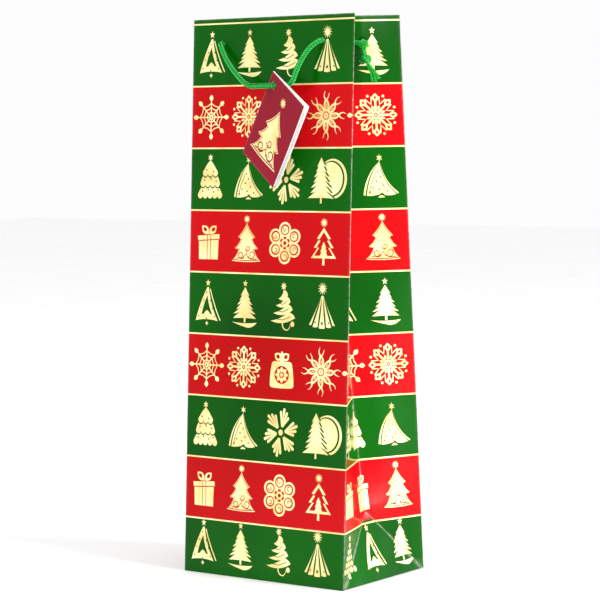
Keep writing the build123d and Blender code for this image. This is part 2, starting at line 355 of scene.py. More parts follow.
def smooth_line(route):
    """The points of the NURBS spline that has the route as its control points."""
    data = bpy.data.curves.new("route", "CURVE")
    data.dimensions = "3D"
    data.resolution_u = 24
    spline = data.splines.new("NURBS")
    spline.points.add(len(route) - 1)
    for point, place in zip(spline.points, route):
        point.co = (*place, 1)
    spline.order_u = 3
    spline.use_endpoint_u = True
    curve = bpy.data.objects.new("route", data)
    mesh = bpy.data.meshes.new_from_object(curve)
    line = [v.co.copy() for v in mesh.vertices]
    bpy.data.objects.remove(curve)
    bpy.data.curves.remove(data)
    bpy.data.meshes.remove(mesh)
    return line


def stepped(line, step):
    """The line at even steps, with the distance along it at each point."""
    lengths = [0.0]
    for a, b in zip(line, line[1:]):
        lengths.append(lengths[-1] + (b - a).length)
    count = max(2, round(lengths[-1] / step))
    points, at = [], 0
    for k in range(count + 1):
        want = lengths[-1] * k / count
        while at < len(line) - 2 and lengths[at + 1] < want:
            at += 1
        share = (want - lengths[at]) / max(lengths[at + 1] - lengths[at], 1e-9)
        points.append(line[at].lerp(line[at + 1], min(share, 1)))
    return points, lengths[-1] / count


def carried_frames(points):
    """A sideways direction at each point, carried along without twist."""
    ends = zip([points[0]] + points[:-1], points[1:] + [points[-1]])
    tangents = [(b - a).normalized() for a, b in ends]
    start = UP if abs(tangents[0].z) < 0.9 else Vector((1, 0, 0))
    side = (start - tangents[0] * start.dot(tangents[0])).normalized()
    frames = []
    for tangent in tangents:
        side = (side - tangent * side.dot(tangent)).normalized()
        frames.append((side, tangent.cross(side)))
    return frames


def add_tube(verts, faces, centres, radii, sides):
    """A closed tube through the centres."""
    base = len(verts)
    for centre, radius, (side, other) in zip(centres, radii, carried_frames(centres)):
        for k in range(sides):
            angle = 2 * pi * k / sides
            verts.append(centre + side * radius * cos(angle) + other * radius * sin(angle))
    for ring in range(len(centres) - 1):
        low = base + ring * sides
        for k in range(sides):
            after = (k + 1) % sides
            faces.append((low + k, low + after, low + sides + after, low + sides + k))
    last = base + (len(centres) - 1) * sides
    faces.append(tuple(base + k for k in reversed(range(sides))))
    faces.append(tuple(last + k for k in range(sides)))


def braid(name, line, radius=CORD_RADIUS, round_start=False):
    """Yarns laid over and under each other round a core that follows the line."""
    points, step = stepped(line, BRAID_STEP)
    frames = carried_frames(points)
    scale = radius / CORD_RADIUS
    verts, faces, looks = [], [], []

    def narrowing(s):
        """The share of its width that the cord has at s, where its start is rounded."""
        nearest = min(radius, s) if round_start else radius
        return sqrt(max(1 - (1 - nearest / radius) ** 2, 0.02))

    yarn_radius = YARN_RADIUS * scale
    for direction in (1, -1):
        for k in range(YARN_COUNT):
            centres, radii = [], []
            for n, (point, (side, other)) in enumerate(zip(points, frames)):
                s = n * step
                turn = 2 * pi * s / (BRAID_PITCH * scale)
                sway = direction * YARN_SWAY * scale * cos(YARN_COUNT * turn)
                reach = (radius - yarn_radius - YARN_SWAY * scale + sway) * narrowing(s)
                angle = direction * turn + 2 * pi * k / YARN_COUNT
                centres.append(point + side * reach * cos(angle) + other * reach * sin(angle))
                radii.append(yarn_radius)
            add_tube(verts, faces, centres, radii, 6)
        # The yarns that run the other way and the core take the darker yarn: painted shade between the
        # yarns and in the cord.
        looks += [0 if direction > 0 else 1] * (len(faces) - len(looks))
    core = [(radius - CORE_INSET * yarn_radius) * narrowing(n * step) for n in range(len(points))]
    add_tube(verts, faces, points, core, 10)
    looks += [1] * (len(faces) - len(looks))
    return new_object(name, mesh_of(name, verts, faces, looks), (yarn, yarn_painted_shade))


def handle(name, route, node, body):
    """A stretch of cord, with the length read from the photo or guessed."""
    line = smooth_line(route)
    cord = braid(name, line)
    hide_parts(node)
    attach(cord, body)
    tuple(line[0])


handle("front_handle_left", left_route, "front_handle_cord", "front_handle")
handle("front_handle_right", right_route, "front_handle_cord", "front_handle")
handle("cord_through_tag", tag_route, "tag_cord", "tag")
handle("back_handle", back_route, "back_handle_cord", "back_handle")

# ---------------------------------------------------------------- the folded sheet
# Print coordinates: u runs across a face from its left edge and v up from the
# bottom crease, both along the paper.

WALL_BOW = 0.5 * MM
GUSSET_BOW = 1.0 * MM
LOWEST = 0.8 * MM                   # where the gusset's paper starts, over the base
CREASE_MARGIN = 0.1 * MM
WEAR_REACH = 0.3 * MM               # from a crease, where the film is scuffed
LAYER_GAP = 0.05 * MM
FOLD_GAP = 0.15 * MM
BOARD = 1.0 * MM
ALONG_WALL = Vector((0, sin(lean), cos(lean)))
FROM_WALL = Vector((0, -cos(lean), sin(lean)))
peak_depth = half_depth - triangle_height * sin(lean) / cos(lean)
peak_inward = sqrt(half_depth**2 - peak_depth**2)


def wall_place(u, v, out):
    """A point on the front wall, out from its printed face."""
    x = u - half_width
    rise = v / sheet_height
    across = 1 - (x / half_width) ** 2
    bow = WALL_BOW * across * (sin(2 * pi * rise) + 0.35 * sin(5.2 * pi * rise + x / half_width))
    foot = Vector((x, -half_depth, 0))
    return foot + ALONG_WALL * v + FROM_WALL * (out + bow)


def fold_reach(v):
    """Paper from an upright corner to the fold edge of a gusset half, at height v."""
    return gusset_width * min(1.0, v / triangle_height)


def depth_at(v):
    return half_depth - v * sin(lean)


def gusset_place(u, v, out):
    """A point on the right gusset, out from its printed side, thickened along X."""
    z = v * cos(lean)
    depth = depth_at(v)
    near = min(u, 2 * gusset_width - u)
    side = 1 if u <= gusset_width else -1
    share = min(1.0, v / triangle_height)
    inward = peak_inward * share if share < 1 else sqrt(half_depth**2 - depth**2)
    end = Vector((half_width - inward, -half_depth * (1 - share), z))
    corner = Vector((half_width, -depth, z))
    reach = fold_reach(v)
    bow = 0.0
    if near <= reach:
        place = corner.lerp(end, near / reach)
        place.y = max(place.y, -depth + PAPER)
        height_share = v / sheet_height
        swell = sin(pi * near / reach) * sin(pi * height_share) ** 0.5
        bow = GUSSET_BOW * swell * (0.35 + 0.65 * cos(3.1 * pi * height_share))
    else:
        middle = Vector((end.x, 0, z))
        place = end.lerp(middle, (near - reach) / (gusset_width - reach))
    shift = out * gusset_width / depth + bow
    return Vector((place.x + shift, place.y * side, place.z))


# Gold lines part the print into bands, counted from the top.
BAND = 39.72 * MM
FIRST_LINE = 3.1 * MM
LINE_WIDTH = 1.0 * MM
BAND_COUNT = 9
line_heights = [sheet_height - FIRST_LINE - BAND * k for k in range(BAND_COUNT)]


def band_colour(v):
    band = int((sheet_height - FIRST_LINE - v) // BAND)
    return RED if band >= 0 and band % 2 else GREEN


def even_steps(low, high, most):
    steps = max(1, ceil((high - low) / most - 0.01))
    return [low + (high - low) * k / steps for k in range(steps)]


NEAR_TOP = (0.3 * MM, 0.8 * MM, 1.6 * MM)
NEAR_CREASE = (0.25 * MM, 0.6 * MM, 1.4 * MM)
ROW_STEP = 7 * MM


def sheet_rows(low, high, extra=()):
    """Heights at each change of print, evenly in between, and close together at the top."""
    extra = [*extra, *(high - drop for drop in NEAR_TOP)]
    stops = sorted({low, high, *extra, *(h for h in line_heights if low < h < high)})
    rows = []
    for below, above in zip(stops, stops[1:]):
        rows += even_steps(below, above, ROW_STEP)
    return rows + [high]


def crossing(low, high, most=5 * MM):
    """Places across a facet, close together beside its two creases."""
    inner = even_steps(low + NEAR_CREASE[-1], high - NEAR_CREASE[-1], most)
    start = [low, *(low + c for c in NEAR_CREASE[:-1])]
    return start + inner + [high - c for c in reversed(NEAR_CREASE)] + [high]


def sheet_mesh(name, rows, columns, place, thickness, outer=None, inner=WHITE, creased=True):
    """A closed paper shell. columns(v) gives a row's u values, and place gives its points.

    Its outside has the printed bands, unless outer names one look for all of it.
    """
    verts, faces, looks, wear = [], [], [], []
    for out in (0.0, -thickness):
        for v in rows:
            us = columns(v)
            for u in us:
                verts.append(place(u, v, out))
                edge = min(u - us[0], us[-1] - u, rows[-1] - v)
                wear.append(exp(-edge / WEAR_REACH) if creased else 0.0)
    count = len(columns(rows[0]))
    layer = len(rows) * count
    for k in range(len(rows) - 1):
        colour = band_colour((rows[k] + rows[k + 1]) / 2) if outer is None else outer
        for c in range(count - 1):
            a = k * count + c
            faces.append((a, a + 1, a + count + 1, a + count))
            faces.append((layer + a, layer + a + count, layer + a + count + 1, layer + a + 1))
            looks += [colour, inner]
    top = (len(rows) - 1) * count
    ring = list(range(count)) + [k * count + count - 1 for k in range(1, len(rows) - 1)]
    ring += [top + c for c in reversed(range(count))]
    ring += [k * count for k in reversed(range(1, len(rows) - 1))]
    for a, b in zip(ring, ring[1:] + ring[:1]):
        faces.append((b, a, layer + a, layer + b))
        height = rows[min(a, b) // count] + 0.1 * MM
        looks.append(band_colour(height) if creased else WHITE)
    mesh = mesh_of(name, verts, faces, looks)
    mesh.attributes.new("wear", "FLOAT", "POINT").data.foreach_set("value", wear)
    return mesh


def sheet(name, *details):
    return new_object(name, sheet_mesh(name, *details), PRINTED)


def between_wall_and_base(thing):
    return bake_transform(thing)


CORD_HOLE = CORD_DIAMETER + 1.2 * MM
hole_v = sheet_height - HOLE_DROP
HEM = 35 * MM
HEM_INSET = 4.5 * MM                # at each side
HEM_STEP = 6 * MM
BOARD_INSET = 5.5 * MM
BOARD_DROP = 1.5 * MM               # below the top edge
BOARD_HEIGHT = 30 * MM
SEAM_INSET = 3 * MM
SEAM_WIDTH = 12 * MM


def with_wall_holes(thing):
    for u in (HOLE_INSET, SHEET_WIDTH - HOLE_INSET):
        drilled(thing, wall_place(u, hole_v, 0), FROM_WALL, CORD_HOLE)
    return thing


def gusset_hole(u):
    """The hole's place and the direction through it."""
    here = gusset_place(u, hole_v, 0)
    along = gusset_place(u + MM, hole_v, 0) - gusset_place(u - MM, hole_v, 0)
    return here, along.cross(UP).normalized()


def finish_piece(thing, node, body):
    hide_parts(node)
    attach(thing, body)


def both_walls(make, part):
    """Makes a piece for the front wall and the same for the back one."""
    finish_piece(make("front_" + part + "_paper"), "front_" + part, "front_wall")
    finish_piece(turned(make("back_" + part + "_paper")), "back_" + part, "back_wall")


def glued_place(u, v, out):
    """A point on a layer that is glued inside the front panel."""
    return wall_place(u, v, out - PAPER - LAYER_GAP)


def panel(name):
    us = crossing(0.0, SHEET_WIDTH)
    rows = sheet_rows(0.0, sheet_height)
    return with_wall_holes(sheet(name, rows, lambda v: us, wall_place, PAPER))


def board(name):
    top = sheet_height - BOARD_DROP
    us = crossing(BOARD_INSET, SHEET_WIDTH - BOARD_INSET)
    rows = even_steps(top - BOARD_HEIGHT, top, 5 * MM) + [top]
    mesh = sheet_mesh(name, rows, lambda v: us, glued_place, BOARD, WHITE, WHITE, False)
    mesh.polygons.foreach_set("material_index", [0] * len(mesh.polygons))
    return with_wall_holes(new_object(name, mesh, [grey_board]))


turn_in_depth = PAPER + BOARD + 2 * LAYER_GAP


def turn_in(name):
    """The hem inside the mouth, and the strip of it that goes over the top edge."""
    us = crossing(HEM_INSET, SHEET_WIDTH - HEM_INSET)
    over = sheet_height + turn_in_depth
    rows = even_steps(sheet_height - HEM, sheet_height - PAPER, HEM_STEP)
    rows += [sheet_height - PAPER, sheet_height, over - PAPER]

    def place(u, v, out):
        inside = out < 0
        if v > sheet_height:
            return wall_place(u, sheet_height - (0 if inside else PAPER), -PAPER)
        height = v if inside else min(v, sheet_height - PAPER)
        return wall_place(u, height, -turn_in_depth + out)

    return with_wall_holes(sheet(name, rows, lambda v: us, place, PAPER, WHITE, GREEN, False))


def seam_tab(name):
    """The glued lap that closes the sheet, inside one upright corner."""
    high_u = SHEET_WIDTH - SEAM_INSET
    us = crossing(high_u - SEAM_WIDTH, high_u, 3 * MM)
    rows = sheet_rows(2 * SEAM_INSET, sheet_height - HEM - SEAM_INSET)
    return sheet(name, rows, lambda v: us, glued_place, PAPER, WHITE, WHITE, False)


both_walls(panel, "panel")
both_walls(board, "board")
both_walls(turn_in, "turn_in")
finish_piece(turned(seam_tab("seam_tab_paper")), "side_seam_tab", "back_wall")

# Close together, because a gusset half bends sharply when the walls lean.
GUSSET_STEP = 1.5 * MM
GUSSET_COLUMNS = crossing(0.0, gusset_width, GUSSET_STEP)
GUSSET_ROWS = sheet_rows(LOWEST, sheet_height, [triangle_height])


def on_half(us, rear):
    """Places on the front half of a gusset, or the matching ones on its rear half."""
    return [2 * gusset_width - u for u in reversed(us)] if rear else us


def with_gusset_hole(thing, rear):
    near = 2 * gusset_width - HOLE_INSET if rear else HOLE_INSET
    return drilled(thing, *gusset_hole(near), CORD_HOLE)


def gusset_half(name, rear):
    def columns(v):
        return on_half([fold_reach(v) / gusset_width * u for u in GUSSET_COLUMNS], rear)

    return with_gusset_hole(sheet(name, GUSSET_ROWS, columns, gusset_place, PAPER), rear)


def gusset_hem(name, rear):
    us = on_half(crossing(HEM_INSET, gusset_width - PAPER, GUSSET_STEP), rear)
    top = sheet_height - LAYER_GAP
    rows = even_steps(sheet_height - HEM, top, HEM_STEP) + [top]

    def place(u, v, out):
        return gusset_place(u, v, out - PAPER - FOLD_GAP)

    return with_gusset_hole(sheet(name, rows, lambda v: us, place, PAPER, WHITE, GREEN, False), rear)


TRIANGLE_FOOT = 0.6 * MM
TRIANGLE_PEAK = triangle_height - 0.7 * MM
TRIANGLE_COLUMNS = 18


def gusset_triangle(name):
    """The facet that the two bottom diagonals leave standing over the base."""
    rows = even_steps(TRIANGLE_FOOT, TRIANGLE_PEAK, 5 * MM) + [TRIANGLE_PEAK]

    def columns(v):
        low = fold_reach(v) + CREASE_MARGIN
        high = 2 * gusset_width - fold_reach(v) - CREASE_MARGIN
        return [low + (high - low) * k / TRIANGLE_COLUMNS for k in range(TRIANGLE_COLUMNS + 1)]

    return sheet(name, rows, columns, gusset_place, PAPER)


def four_halves(make, part, slot, suffix=""):
    """The two halves of each gusset. The left gusset is the right one, half a turn round."""
    for rear in (False, True):
        for side in ("right", "left"):
            at_back = rear != (side == "left")
            node = side + "_gusset_" + ("rear" if at_back else "front") + suffix
            piece = make(node + "_" + part, rear)
            if side == "left":
                turned(piece)
            if slot != "gold_foil":
                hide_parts(node)
            between_wall_and_base(piece)


four_halves(gusset_half, "paper", "printed_paper")
four_halves(gusset_hem, "paper", "plain_paper", "_turn_in")
right_triangle = gusset_triangle("right_gusset_triangle_paper")
finish_piece(right_triangle, "right_gusset_triangle", "base")
left_triangle = turned(gusset_triangle("left_gusset_triangle_paper"))
finish_piece(left_triangle, "left_gusset_triangle", "base")

# ---------------------------------------------------------------- motifs
# A motif is a list of (outline, laid) in mm from its middle. Where outlines
# overlap, the later one decides: laid is foil, and not laid is a gap in it.


def arc(x, y, radius, start, stop, count):
    steps = [start + (stop - start) * k / count for k in range(count + 1)]
    return [(x + radius * cos(radians(a)), y + radius * sin(radians(a))) for a in steps]


def disc(x, y, radius, count=14):
    return arc(x, y, radius, 0, 360, count)[:-1]


def star(x, y, outer, inner, points):
    tips = []
    for k in range(2 * points):
        angle = radians(90 + 180 * k / points)
        reach = inner if k % 2 else outer
        tips.append((x + reach * cos(angle), y + reach * sin(angle)))
    return tips


def bowed(corners, sags, count=6):
    """An outline whose sides bulge to their right by a sag each."""
    outline = []
    for (ax, ay), (bx, by), sag in zip(corners, corners[1:] + corners[:1], sags):
        length = max(hypot(bx - ax, by - ay), 1e-6)
        steps = count if sag else 1
        for k in range(steps):
            t = k / steps
            off = 4 * sag * t * (1 - t) / length
            x = ax + (bx - ax) * t + (by - ay) * off
            outline.append((x, ay + (by - ay) * t - (bx - ax) * off))
    return outline


def petal(x, y, angle, start, end, width, count=5):
    """A leaf shape that points away from x, y."""
    a = radians(angle)
    low = (x + start * cos(a), y + start * sin(a))
    high = (x + end * cos(a), y + end * sin(a))
    return bowed([low, high], [width / 2, width / 2], count)


def stroke(points, width, tip=None):
    """A line of even width, or one that narrows to tip."""
    tip = width if tip is None else tip
    left, right = [], []
    for k, (x, y) in enumerate(points):
        ax, ay = points[max(k - 1, 0)]
        bx, by = points[min(k + 1, len(points) - 1)]
        length = hypot(bx - ax, by - ay)
        half = (width + (tip - width) * k / (len(points) - 1)) / 2
        nx, ny = -(by - ay) / length * half, (bx - ax) / length * half
        left.append((x + nx, y + ny))
        right.append((x - nx, y - ny))
    return left + right[::-1]


def curl(x, y, radius, start, sweep, shrink=0.35, count=14):
    """The points of a spiral."""
    points = []
    for k in range(count + 1):
        t = k / count
        reach = radius * (1 - (1 - shrink) * t)
        angle = radians(start + sweep * t)
        points.append((x + reach * cos(angle), y + reach * sin(angle)))
    return points


def laid(*outlines):
    return [(outline, True) for outline in outlines]


def gap(*outlines):
    return [(outline, False) for outline in outlines]


def pierced(spots, radius, count=7):
    """Small round gaps."""
    return gap(*(disc(x, y, radius, count) for x, y in spots))


def spun(make, count, turn=0.0):
    """Copies round the middle."""
    return [item for k in range(count) for item in make(turn + 360 * k / count)]


def rotated(items, angle):
    c, s = cos(radians(angle)), sin(radians(angle))
    return [([(x * c - y * s, x * s + y * c) for x, y in outline], on) for outline, on in items]


def moved(items, dx, dy, scale=1.0):
    return [([(x * scale + dx, y * scale + dy) for x, y in outline], on) for outline, on in items]


def taller(items, share):
    return [([(x, y * share) for x, y in outline], on) for outline, on in items]


DROOP = 0.9                         # of each tier's tip, in mm


def fir_outline(width, base, top, tiers):
    """Half a jagged fir, mirrored."""
    right = []
    lift = (top - base) / tiers
    for k in range(tiers):
        t = (k + 1) / tiers
        reach = width / 2 * (0.2 + 0.8 * t) * (0.9 if k % 2 else 1.0)
        y = top - lift * (k + 1)
        right += [(reach, y + 0.25 * lift - DROOP), (reach * 0.74, y + 0.34 * lift - DROOP)]
        right.append((reach * 0.42, y + 0.7 * lift - DROOP))
    right[-2:] = [(0.9, base)]
    left = [(-x * 1.04, y) for x, y in reversed(right)]
    return [(0, top + 2)] + right + left


def hollow_tree():
    frame_tree = bowed([(-9.8, -10), (8.4, -10), (0.7, 9), (-0.5, 9)], [-0.9, -1.3, 0, 0.7])
    hollow = bowed([(-5, -6.4), (3.8, -6.4), (-0.3, 4.4)], [-0.4, -0.6, 0.5])
    bump = bowed([(-3.4, -6.7), (2.4, -6.7), (-0.6, -4)], [0, 0.3, 0.3])
    left_spots = [(-7.4, -7.4), (-5.6, -2.6), (-3.2, 1.6), (-1, 6)]
    right_spots = [(5.6, -7.6), (4, -3), (2.2, 1.4), (-1, -8.6)]
    line = stroke([(10.4, -9.6), (6.8, -3.4), (3.6, 3.4), (1.8, 8)], 0.7)
    foot = star(-0.6, -11.4, 1.4, 0.6, 4)
    holes = gap(hollow) + pierced(left_spots + right_spots, 0.5)
    return laid(frame_tree, star(0, 11.4, 2.1, 0.9, 5), line) + holes + laid(bump, foot)


def fir():
    crescent = bowed([(-10.4, -9.8), (2.4, -12.8), (9.8, -9.8)], [0.2, 0.8, -0.6], 7)
    trunk = [(-0.7, -9.9), (0.7, -9.9), (0.7, -6), (-0.7, -6)]
    return laid(fir_outline(20, -7.4, 7.8, 6), trunk, crescent, star(0, 11.8, 2, 0.8, 5))


def ribbon_tree():
    ribbons = []
    for k, (y, reach) in enumerate(((-8.6, 9.6), (-4.2, 7.6), (0, 5.6), (3.8, 3.6))):
        left, right = (-reach, y + 0.4), (reach, y + 2.4)
        tip = (reach * 0.45, y + 5.4) if k < 3 else (0.2, 9)
        ribbons.append(bowed([left, right, tip], [2.0, 0.8, -0.9]))
    folds = []
    for y, reach in ((-8.4, 6), (-4, 4.6), (0.2, 3)):
        folds.append(stroke([(-reach, y + 1.4), (0, y + 0.9), (reach, y + 2.9)], 0.4))
    tail = stroke(curl(3.4, -10, 3.8, 160, 200, 0.6), 0.9, 0.3)
    top = star(0.2, 11, 2.4, 1.1, 8)
    return laid(*ribbons) + gap(*folds) + laid(tail, disc(7.6, -9.6, 1.5, 10), top)


def striped_cone():
    items = []
    for middle, half in ((0, 2.3), (-5.2, 1.9), (5.2, 1.9), (-8.9, 0.9), (8.9, 0.9)):
        lift = 0.022 * middle * middle
        foot = [(middle - half, -11 + lift), (middle + half, -11 + lift)]
        head = [(middle * 0.07 + half * 0.1, 6.6), (middle * 0.07 - half * 0.1, 6.6)]
        items.append(bowed(foot + head, [0.25, -0.3, 0, -0.3]))
    marks = gap(star(0, -8.4, 1.5, 0.6, 6)) + pierced([(-5.2, -8), (5.2, -8)], 0.55)
    return laid(*items, star(0, 10.6, 3.7, 1.5, 12)) + marks


def ball_tree():
    items = []
    for row in range(5):
        y = -7.5 + 3.4 * row
        for k in range(5 - row):
            items.append(disc((k - (4 - row) / 2) * 3.7, y, 1.55, 12))
    glints = pierced([(-0.5, -7.0), (-2.35, -3.6), (3.2, -0.2)], 0.45, 6)
    trunk = [(-1, -12), (1, -12), (0.8, -9.3), (-0.8, -9.3)]
    return laid(*items, trunk, star(0, 10, 2.2, 0.9, 5)) + glints


def web_flake():
    def arm(angle):
        return rotated(laid(stroke([(1, 0), (11, 0)], 0.8), petal(10.2, 0, 0, 0, 4.2, 3.0)), angle)

    def web(radius):
        corners = arc(0, 0, radius, 0, 360, 8)
        threads = []
        for (ax, ay), (bx, by) in zip(corners, corners[1:]):
            threads.append(stroke([(ax, ay), ((ax + bx) * 0.46, (ay + by) * 0.46), (bx, by)], 0.6))
        return threads

    return spun(arm, 8) + laid(*web(3.4), *web(6.2), *web(9), disc(0, 0, 1.5)) + gap(disc(0, 0, 0.6, 8))


def round_flake():
    def spoke(angle):
        cell = bowed([(8, 0), (11, -2.1), (13.6, 0), (11, 2.1)], [0.3, 0.3, 0.3, 0.3], 3)
        hole = [(9.6, 0), (11, -0.9), (12.2, 0), (11, 0.9)]
        beam = stroke([(2, 0), (8.6, 0)], 1.7, 1.1)
        return rotated(laid(beam, cell) + gap(hole), angle)

    def wedge(angle):
        vee = stroke([(11.6, -2.2), (7.2, 0), (11.6, 2.2)], 0.8)
        return rotated(laid(vee, petal(0, 0, 0, 3.4, 6.4, 1.5)), angle)

    buds = laid(*(disc(x, y, 0.85, 8) for x, y in arc(0, 0, 12.8, 22, 337, 7)))
    middle = laid(disc(0, 0, 2.7)) + gap(disc(0, 0, 1.3, 10)) + laid(disc(0, 0, 0.6, 8))
    return spun(spoke, 8) + spun(wedge, 8, 22.5) + buds + middle


def ribbon_loops(loop, spread_angle, y):
    """A loop that points to the right, laid twice as the two ears of a bow."""
    return [item for side in (-1, 1) for item in moved(rotated(loop, 90 - side * spread_angle), 0, y)]


def pouch():
    body = bowed(
        [(-7.4, -11.6), (7.4, -11.6), (9.3, -9.4), (8, 3), (5.6, 5), (-5.6, 5), (-8, 3), (-9.3, -9.4)],
        [0.3, 0.7, 0.3, 0.6, 0, 0.6, 0.3, 0.7],
    )
    loop = laid(petal(0, 0, 0, 0.4, 7, 5.2, 8)) + gap(petal(0, 0, 0, 2.2, 5.6, 2.6, 6))
    flower = spun(lambda a: laid(petal(0, 0, a, 1.5, 5.1, 2.6)), 8) + laid(disc(0, 0, 1.2, 9))
    rosette = gap(disc(0, -3.4, 5.7, 20)) + moved(flower, 0, -3.4)
    drop = moved(laid(petal(0, 0, 90, 0, 4, 2.2)), 0, 7.6)
    return laid(body) + rosette + ribbon_loops(loop, 52, 5.6) + drop + laid(disc(0, 5.7, 1.4, 10))


def wisp_flake():
    def arm(angle):
        blade = bowed([(1.6, 0), (11, 0.6)], [2.6, 1.6], 7)
        wisp = stroke([(9, 0.2), (11.6, 1.6), (13.4, 1.8), (15.2, 1.0)], 1.1, 0.25)
        twig = stroke([(9.6, -0.1), (11.8, -1.6), (14, -2.2)], 0.9, 0.25)
        return rotated(laid(blade, wisp, twig), angle)

    def cut(angle):
        slot = gap(petal(0, 0, -1, 3.8, 9, 1.7)) + laid(petal(0, 0, -1, 4.8, 7.6, 0.6))
        return rotated(slot, angle)

    middle = gap(disc(0, 0, 2.7, 14)) + spun(lambda a: laid(petal(0, 0, a, 0.3, 2.5, 1)), 8)
    return spun(arm, 8) + laid(disc(0, 0, 4.6, 20)) + spun(cut, 8) + middle


def cloud_tree():
    items = []
    for y, half, lobes in ((-10, 9.8, 5), (-3.6, 7.8, 4), (2.4, 6, 3)):
        foot = y + 1.2
        if y > 0:
            shape = bowed([(-half, foot), (half, foot), (0, y + 8.4)], [0, 0.5, 0.5])
        else:
            shoulder = half * 0.4
            corners = [(-half, foot), (half, foot), (shoulder, y + 7.6), (-shoulder, y + 7.6)]
            shape = bowed(corners, [0, 0.9, 0, 0.9])
        radius = half / lobes
        middles = [-half + (2 * k + 1) * radius for k in range(lobes)]
        shadows = [disc(x, foot - 0.7, radius * 1.06, 14) for x in middles]
        items += gap(*shadows) + laid(shape, *(disc(x, foot, radius * 1.02, 14) for x in middles))
    dots = [(-3, 5.4), (2.6, 4.4), (-4.6, -0.4), (0.6, 0.2), (4.8, -1)]
    dots += [(-6, -6.6), (-1.6, -5.8), (2.8, -7), (6.6, -6)]
    return items + pierced(dots, 0.55) + laid(star(0, 12.2, 2.1, 0.95, 6))


def dotted_cone():
    cone = bowed(
        [(-8.8, -10), (-1.5, -9.4), (0.6, -8.2), (2.6, -9.6), (10.4, -9.2), (0.2, 9)],
        [0.3, 0.3, -0.3, 0.5, -2.2, 1.6],
    )
    edges = [
        bowed([(-10.9, -9.6), (-9.7, -9.9), (-0.6, 8.4)], [0, -1.7, 1.9]),
        bowed([(11.3, -9), (12.2, -8.4), (0.8, 8.4)], [0, -2.3, 2.2]),
    ]
    foot = bowed([(-1.6, -11), (2.8, -11), (0.6, -9.7)], [0, 0.2, 0.2])
    slot = stroke([(-7.4, -9.2), (-5.6, -3.4), (-2.4, 2.6)], 0.45)
    dots = [(-1.4, 3.2), (0.4, 0.4), (-2, -2), (2, -4.2), (-4.6, -5.4)]
    dots += [(-0.6, -6.6), (4.8, -7.4), (-6.6, -8)]
    return laid(cone, *edges, foot, star(0.4, 11, 2.2, 0.8, 6)) + gap(slot) + pierced(dots, 0.55)


def fan_flake():
    def fan(angle):
        blades = []
        for k, reach in enumerate((9.8, 11.6, 13, 11.2)):
            turn = radians(-17 + 11.6 * k)
            tip = (reach * cos(turn), reach * sin(turn))
            blades += laid(stroke([(3.2, 0.25 * (k - 1.5)), tip], 0.5, 1.8), disc(*tip, 0.88, 9))
        return rotated(blades, angle)

    return spun(fan, 6, 12) + laid(disc(0, 0, 1.7, 12))


def moon_fir():
    halo = gap(disc(6, 0.6, 11.2, 26)) + laid(disc(6, 0.6, 10.9, 26))
    moon = gap(disc(5.2, 0.6, 9.9, 26)) + laid(disc(4.6, 0.6, 9.1, 26))
    outline = fir_outline(19.5, -9.8, 10.2, 7)
    shadow = [(x * 1.12 - 2.2, y * 1.04 + 0.2) for x, y in outline]
    tree = [(x - 3, y) for x, y in outline]
    trunk = [(-3.7, -12.8), (-2.3, -12.8), (-2.5, -9), (-3.5, -9)]
    return halo + moon + gap(shadow) + laid(tree, trunk)


def gift_box():
    body = [(-8, -11.6), (7.4, -11.6), (7.7, 1.2), (-8.3, 0)]
    lid = [(-8.9, 0.4), (8.5, 1.7), (8.3, 4.7), (-9.2, 3.4)]
    ribbon = [stroke([(x, -11.6), (x, 4.2)], 0.5) for x in (-1.4, 1.3)]
    loop = laid(petal(0, 0, 0, 0.3, 8, 5, 8)) + gap(petal(0, 0, 0, 2.8, 6.6, 2.4, 6))
    lines = gap(stroke([(-8.6, 0.2), (8, 1.4)], 0.6), *ribbon)
    return laid(body, lid) + lines + ribbon_loops(loop, 46, 4.4)


def swirl_tree():
    """A broad three-tier tree with a thin line round it and swirls cut into it."""
    right = [(15, -15), (8, -5), (12, -4.2), (5.6, 4), (8.8, 5)]
    corners = [(-15, -15), *right, (0, 17), *((-x, y) for x, y in reversed(right[1:]))]
    edge = bowed(corners, [0.8, -1, 0.5, -0.8, 0.4, -0.8, -0.8, 0.4, -0.8, 0.5, -1])
    rim = [(x * 0.93, (y + 1) * 0.95 - 1) for x, y in edge]
    body = [(x * 0.86, (y + 1) * 0.9 - 1) for x, y in edge]
    swirls = [
        stroke(curl(5.6, -9.6, 3.9, 200, 420), 1.0, 0.6),
        stroke(curl(-5.4, -10, 3.5, -20, -420), 1.0, 0.6),
        stroke(curl(1.4, -4.2, 2.8, 190, 380), 0.9, 0.5),
        stroke([(-10.5, -13), (-4, -12.2), (0.4, -8.8), (1.2, -5)], 0.8, 0.5),
        stroke([(11, -13.2), (5, -13.4), (1.8, -12), (0.2, -8.8)], 0.8, 0.5),
    ]
    return laid(edge) + gap(rim) + laid(body) + gap(*swirls)


def topped_tree():
    return moved(swirl_tree(), 0, -0.6, 0.76) + laid(star(0, 14.6, 2.6, 1.2, 10))


def petal_flower():
    def flower_petal(angle):
        whole = laid(disc(8.6, 0, 4.7, 20)) + gap(disc(8.4, 0, 3.5, 16)) + laid(disc(8.2, 0, 2.6, 14))
        paisley = gap(stroke(curl(8.4, 0.2, 1.6, 30, 300, 0.3, 10), 0.7, 0.3))
        return rotated(whole + paisley + laid(petal(0, 0, 30, 2.6, 6.6, 2.4)), angle)

    return spun(flower_petal, 6, 30) + laid(disc(0, 0, 2.6, 14)) + gap(disc(0, 0, 1.3, 10))


